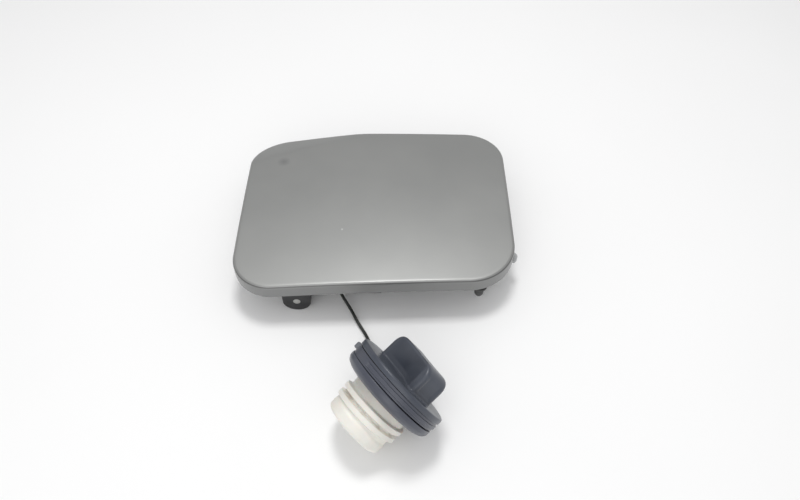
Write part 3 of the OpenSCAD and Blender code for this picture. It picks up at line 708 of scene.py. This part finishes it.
def handle_quarter(half_l, half_t, depth, r, dent):
    """A quarter of the handle's outline, from its waist round the corner almost to the middle of its end."""
    quarter = []
    for k in range(FLANK_STEPS):
        y = (half_l - r) * k / (FLANK_STEPS - 1)
        u = y / (HOLLOW_L / 2)
        dip = depth * (1 - u * u) if u < 1 else 0.0
        quarter.append((half_t - dip, y))
    quarter += arc(half_t - r, half_l - r, r, 0, 90)[1:]
    for k in range(1, END_STEPS):
        x = (half_t - r) * (1 - k / END_STEPS)
        quarter.append((x, half_l - dent * smooth((1 - x / (half_t - r)) / 0.22 - 0.25)))
    return quarter


def turned(verts, degrees):
    """Points turned about the cap's axis."""
    t = math.radians(degrees)
    return [(x * math.cos(t) - y * math.sin(t), x * math.sin(t) + y * math.cos(t), z) for x, y, z in verts]


def make_cover(mat):
    """Disc, hub and handle of the cap."""
    r = 1.3
    low = 0.25
    profile = [(0.0, 0.0)] + [(COVER_R * k / 12, 0.0) for k in range(2, 12)]
    profile += arc(COVER_R - r, -r, r, 90, 0)
    profile += arc(COVER_R - low, -COVER_T + low, low, 0, -90, 4)
    profile += [(HUB_R, -COVER_T), (HUB_R, HUB_LOW + 0.4), (HUB_R - 0.4, HUB_LOW),
                (HUB_IN, HUB_LOW), (HUB_IN, -COVER_T), (0.0, -COVER_T)]
    verts, faces = lathe(profile)
    foot = HANDLE_FOOT_R
    levels = [-1.0] + [foot * k / 6 for k in range(7)] + [foot + 0.5 * k for k in range(1, 19)]
    levels += [HANDLE_H - HANDLE_END_R * (1 - math.sin(math.radians(5 * k))) for k in range(3, 19)]
    rings = [handle_ring(z) for z in sorted(levels)]
    bar, sides = skin(rings)
    bar = turned(bar, HANDLE_TURN)
    base = len(verts)
    verts = [from_cap(p) for p in verts + bar]
    faces = faces + [tuple(base + i for i in f) for f in sides]
    piece = mesh_piece("cap_cover_and_handle", verts, faces, mat, "cap", ["cap_cover"])
    soften(piece)


def soften(piece, angle=38.0):
    """Keeps crisp corners crisp on a smooth-shaded piece."""
    piece.data.set_sharp_from_angle(angle=math.radians(angle))


def tilted(p):
    """A point of the tether ring, which hangs askew in its groove."""
    t = -math.radians(RING_ASKEW)
    y, z = p[1], p[2] - RING_MID
    return (p[0], y * math.cos(t) - z * math.sin(t), RING_MID + y * math.sin(t) + z * math.cos(t))


def make_ring(mat):
    """Loose ring of the tether with its raised band, lug and tab."""
    half = RING_H / 2 + 0.24
    top, low = RING_MID + half, RING_MID - half
    inner = HUB_R + 0.4
    r = 0.15
    start = math.radians(BAND_START)

    def band(a, radius, z):
        """Raised band that begins at one place on the ring's side."""
        if radius < RING_R - 0.2:
            return 0.0
        along = smooth((a - start) / 0.03) * smooth((2 * math.pi - a) / 0.2)
        up = z - RING_MID
        return BAND_OUT * along * smooth((up - BAND_LOW) / 0.25) * smooth((BAND_HIGH - up) / 0.25)

    side = [(RING_R, top - r - 2 * (half - r) * k / 28) for k in range(1, 28)]
    profile = [(inner, low), (inner, top)] + arc(RING_R - r, top - r, r, 90, 0, 4)
    profile += side + arc(RING_R - r, low + r, r, 0, -90, 4)
    verts, faces = lathe(profile, 240, band)
    for angle, size in ((-LUG_ANGLE, (LUG_W, LUG_OUT, LUG_H)), (TAB_ANGLE, (TAB_W, TAB_OUT, TAB_H))):
        more, sides = block(*size)
        base = len(verts)
        verts += turned(more, angle)
        faces += [tuple(base + i for i in f) for f in sides]
    verts = [from_cap(tilted(p)) for p in verts]
    piece = mesh_piece("tether_ring_moulding", verts, faces, mat, "bracket", ["tether_ring"])
    soften(piece)


def block(width, reach, height):
    """Lug on the side of the ring with rounded outer corners."""
    r = 0.9
    half = width / 2
    far = RING_R + reach
    plan = [(half, RING_R - 1.5)]
    plan += [(x, y) for x, y in arc(half - r, far - r, r, 0, 90, 5)]
    plan += [(x, y) for x, y in arc(-half + r, far - r, r, 90, 180, 5)]
    plan += [(-half, RING_R - 1.5)]
    soft = 0.5
    top = height / 2
    rings = []
    for z, inset in ((-top, soft), (-top + soft, 0.0), (top - soft, 0.0), (top, soft)):
        rings.append([(x * (1 - inset / half), y - (inset if y > RING_R else 0.0), RING_MID + z)
                      for x, y in plan])
    return skin(rings)


def make_skirt(mat):
    """Fixed lower ring of the cap, that the neck's seal sits in."""
    top = -COVER_T - GROOVE_H
    r = 0.5
    shelf = PLUG_R + 0.7
    profile = [(HUB_R, top)] + arc(SKIRT_R - r, top - r, r, 90, 0)
    profile += [(SKIRT_R, SKIRT_EDGE + 0.4), (SKIRT_R - 0.12, SKIRT_EDGE - 0.2),
                (SKIRT_FOOT_R + 0.15, SKIRT_FOOT + 0.25), (SKIRT_FOOT_R - 0.35, SKIRT_FOOT - 0.3),
                (SKIRT_LIP_R, SKIRT_BOTTOM + 0.15), (SKIRT_LIP_R - 0.6, SKIRT_BOTTOM),
                (GASKET_R, SKIRT_BOTTOM), (GASKET_R, SKIRT_BOTTOM + GASKET_T),
                (shelf, SKIRT_BOTTOM + GASKET_T), (shelf, SKIRT_FOOT), (HUB_R, SKIRT_FOOT)]
    verts, faces = lathe(profile)
    piece = mesh_piece("cap_skirt_moulding", [from_cap(p) for p in verts], faces, mat, "cap",
                       ["cap_skirt"])
    soften(piece)


def thread_height(a, z):
    """Height of the thread over the plug's wall at an angle in radians."""
    best = 0.0
    start = (a - math.radians(THREAD_START)) / (2 * math.pi) % 1.0
    for k in range(3):
        t = start + k
        if t > THREAD_TURNS:
            break
        ends = smooth(t / 0.25) * smooth((THREAD_TURNS - t) / 0.17)
        tall = THREAD_H * ends * (THREAD_FIRST + (1 - THREAD_FIRST) * t / THREAD_TURNS)
        d = abs(z - THREAD_LOW - THREAD_PITCH * t)
        best = max(best, tall * smooth((THREAD_ROOT - d) / (THREAD_ROOT - THREAD_CREST)))
    return best


def plug_wall(z):
    """Height of the smooth end section and of the collar under the skirt over the plug's wall."""
    rise = (PLUG_END_R - PLUG_R) * smooth((PLUG_END_L - PLUG_END - z + 1.2) / 2.0)
    return rise + COLLAR_OUT * smooth(z - COLLAR_Z)


def make_plug(mat):
    """Threaded plug as a solid of revolution whose outer wall carries the thread."""
    inner = PLUG_R - PLUG_WALL
    bottom = -PLUG_END
    neck = HEAD_TOP - HEAD_T
    count = 100
    low = bottom + PLUG_ROUND
    heights = [low + (neck - 0.3 - low) * k / count for k in range(1, count)]
    outer = arc(PLUG_END_R - PLUG_ROUND, low, PLUG_ROUND, -90, 0)
    wall = [(PLUG_R, z) for z in heights]
    head = [(PLUG_R, neck), (HUB_IN - 0.6, neck), (HUB_IN - 0.6, HEAD_TOP), (VENT_R, HEAD_TOP),
            (VENT_R, neck), (inner, neck), (inner, bottom + 0.4), (inner + 0.4, bottom)]

    def lift(a, r, z):
        if r != PLUG_R or z >= neck:
            return 0.0
        return max(plug_wall(z), thread_height(a, z))

    verts, faces = lathe(outer + wall + head, 288, lift)
    piece = mesh_piece("plug_moulding", [from_cap(p) for p in verts], faces, mat, "plug",
                       ["threaded_plug"])
    soften(piece, 50.0)
    layer = piece.data.attributes.new("groove", "FLOAT", "POINT")
    layer.data.foreach_set("value", [groove_dirt(p) for p in verts])


def cap_heights(node):
    """Lowest and highest place of a CAD node along the cap's axis, in mm."""
    origin = Vector(from_cap((0, 0, 0)))
    axis = Vector(from_cap((0, 0, 1))) - origin
    heights = [(node.matrix_world @ v.co / MM - origin).dot(axis) for v in node.data.vertices]
    return min(heights), max(heights)


def coil_rings(size, low, high):
    """Rings of points round a coiled wire along the cap's axis."""
    r, wire, turns = size
    rise = high - low - wire
    steps = round(turns * 28)
    rings = []
    for i in range(steps + 1):
        a = 2 * math.pi * turns * i / steps
        z = low + wire / 2 + rise * i / steps
        ring = []
        for k in range(10):
            b = 2 * math.pi * k / 10
            out = r + wire / 2 * math.cos(b)
            ring.append(from_cap((out * math.cos(a), out * math.sin(a), z + wire / 2 * math.sin(b))))
        rings.append(ring)
    return rings


def make_spring(frame, node, body, size):
    """Valve spring in place of a CAD node, between the node's lowest and highest place along the cap's axis.
    """
    old = frame["nodes"][node]
    low, high = cap_heights(old)
    verts, faces = skin(coil_rings(size, low, high))
    coil = mesh_piece(node + "_coil", verts, faces, old.data.materials[0], body, [node])
    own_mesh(coil)


def make_closing_spring(frame, mat):
    """Copy of the closing spring's CAD node in spring steel, in its place."""
    old = frame["nodes"]["closing_spring"]
    data = old.data.copy()
    data.materials.clear()
    data.materials.append(mat)
    coil = bpy.data.objects.new("closing_coil", data)
    coil.matrix_world = old.matrix_world
    bpy.context.scene.collection.objects.link(coil)
    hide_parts("closing_spring")
    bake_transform(coil)


def groove_dirt(p):
    """1 in the root between the two lower turns of the thread, on the side that the dirt clings to."""
    a = math.atan2(p[1], p[0])
    turn = (a - math.radians(THREAD_START)) / (2 * math.pi) % 1.0
    across = abs((p[2] - THREAD_LOW) / THREAD_PITCH - turn - 0.5)
    depth = math.hypot(p[0], p[1]) - PLUG_R
    if depth < -0.05 or across > 0.5:
        return 0.0
    side = math.cos(a - math.radians(DIRT_ANGLE))
    return (0.25 + 0.75 * smooth(0.3 + side)) * (1.0 - smooth((across - 0.12) / 0.2))


# Tether

def tether_points():
    """The same curve as the CAD cord, in metres."""
    end_r = RING_R + LUG_OUT - 0.8
    lug = math.radians(LUG_ANGLE)
    end = from_cap(tilted((end_r * math.sin(lug), end_r * math.cos(lug), RING_MID)))
    route = [Vector(p) for p in TETHER] + [Vector(end)]
    line = []
    for i in range(len(route) - 1):
        a, b = route[max(i - 1, 0)], route[i]
        c, d = route[i + 1], route[min(i + 2, len(route) - 1)]
        for s in range(TETHER_STEPS):
            t = s / TETHER_STEPS
            line.append(b + (c - a) * t / 2 + (2 * a - 5 * b + 4 * c - d) * t * t / 2
                        + (3 * b - a - 3 * c + d) * t * t * t / 2)
    line.append(route[-1])
    return [p * MM for p in line]


def make_tether(mat):
    """Cord from the bracket's peg to the lug of the ring."""
    line = tether_points()
    data = bpy.data.curves.new("tether", "CURVE")
    data.dimensions = "3D"
    data.bevel_depth = TETHER_D / 2 * MM
    data.bevel_resolution = 6
    data.use_fill_caps = True
    spline = data.splines.new("POLY")
    spline.points.add(len(line) - 1)
    for point, place in zip(spline.points, line):
        point.co = (*place, 1)
    spline.use_smooth = True
    data.materials.append(mat)
    tether = bpy.data.objects.new("tether", data)
    bpy.context.scene.collection.objects.link(tether)
    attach(tether, "bracket")
    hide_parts("tether_cord")


def dress_nodes(frame, mats):
    """Gives each carried CAD node the material of its slot."""
    for part in frame["record"]["subparts"]:
        node = frame["nodes"][part["node"]]
        mat = mats[part["material_slot"]]
        if not node.material_slots:
            node.data.materials.append(mat)
        for slot in node.material_slots:
            slot.material = mat


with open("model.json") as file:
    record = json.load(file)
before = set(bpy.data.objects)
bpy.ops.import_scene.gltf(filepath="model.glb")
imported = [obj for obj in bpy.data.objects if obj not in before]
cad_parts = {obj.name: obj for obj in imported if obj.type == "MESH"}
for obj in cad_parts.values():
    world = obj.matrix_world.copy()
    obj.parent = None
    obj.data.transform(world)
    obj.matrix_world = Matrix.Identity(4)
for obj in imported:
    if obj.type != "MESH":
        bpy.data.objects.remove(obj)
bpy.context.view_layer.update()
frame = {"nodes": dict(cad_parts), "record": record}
make_camera()
mats = {make.__name__: make() for make in (
    body_paint, inner_paint, black_steel, zinc, spring_steel, aluminium, brass, rubber,
    white_nylon, grey_plastic, black_plastic, tether_plastic, cap_plastic)}
make_tether(mats["tether_plastic"])
bpy.context.scene.view_settings.view_transform = "Standard"
make_floor()
make_light()
dress_nodes(frame, mats)
make_door(mats["body_paint"])
make_cover(mats["cap_plastic"])
rim = rim_plastic()
make_ring(rim)
make_skirt(rim)
make_plug(plug_nylon())
make_spring(frame, "pressure_spring", "plug", PRESSURE_COIL)
make_spring(frame, "vacuum_spring", "pressure_disc", VACUUM_COIL)
make_closing_spring(frame, mats["spring_steel"])
